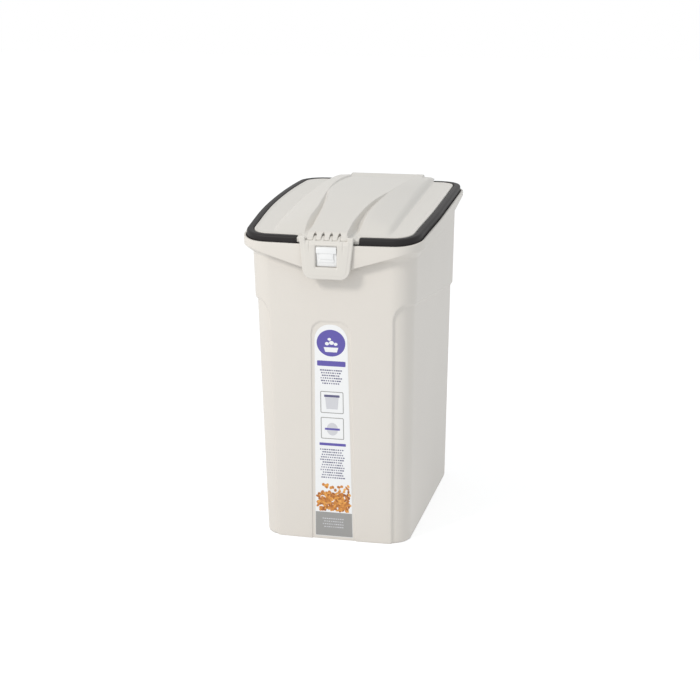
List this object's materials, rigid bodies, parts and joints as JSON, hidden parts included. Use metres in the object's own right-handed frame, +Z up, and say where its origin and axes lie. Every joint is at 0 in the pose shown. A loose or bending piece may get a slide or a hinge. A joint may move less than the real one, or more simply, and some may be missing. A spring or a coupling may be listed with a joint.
{
  "type": "pet food storage bin",
  "caption": "Tall tapered storage bin for dry pet food, with an arched hinged lid, a dark seal round its edge and a hinged front latch.",
  "frame": {"origin": "on the floor under the middle of the tub's underside", "axes": "+Z up, -Y towards the latch, +X to the right of someone facing the latch"},
  "size_m": [0.2164, 0.3103, 0.3884],
  "materials": {
    "tub_plastic": "satin moulded plastic",
    "lid_plastic": "satin moulded plastic",
    "seal_rubber": "soft matt rubber",
    "pin_steel": "drawn wire",
    "pin_plastic": "satin moulded plastic",
    "catch_plastic": "gloss",
    "label_film": "printed film"
  },
  "bodies": {
    "tub": {"tub": "tub_plastic", "catch": "catch_plastic", "label": "label_film", "hinge_pin_left": "pin_plastic", "hinge_pin_right": "pin_plastic"},
    "lid": {"lid": "lid_plastic", "lid_seal": "seal_rubber", "latch_pin": "pin_steel"},
    "latch": {"latch": "lid_plastic"}
  },
  "joints": [
    {"name": "lid_hinge", "type": "hinge", "parent": "tub", "child": "lid", "pos_m": [0, 0.148, 0.3718], "axis": [-1, 0, 0], "range_deg": [0, 105]},
    {"name": "latch_hinge", "type": "hinge", "parent": "lid", "child": "latch", "pos_m": [0, -0.1483, 0.3583], "axis": [-1, 0, 0], "range_deg": [0, 90]}
  ]
}
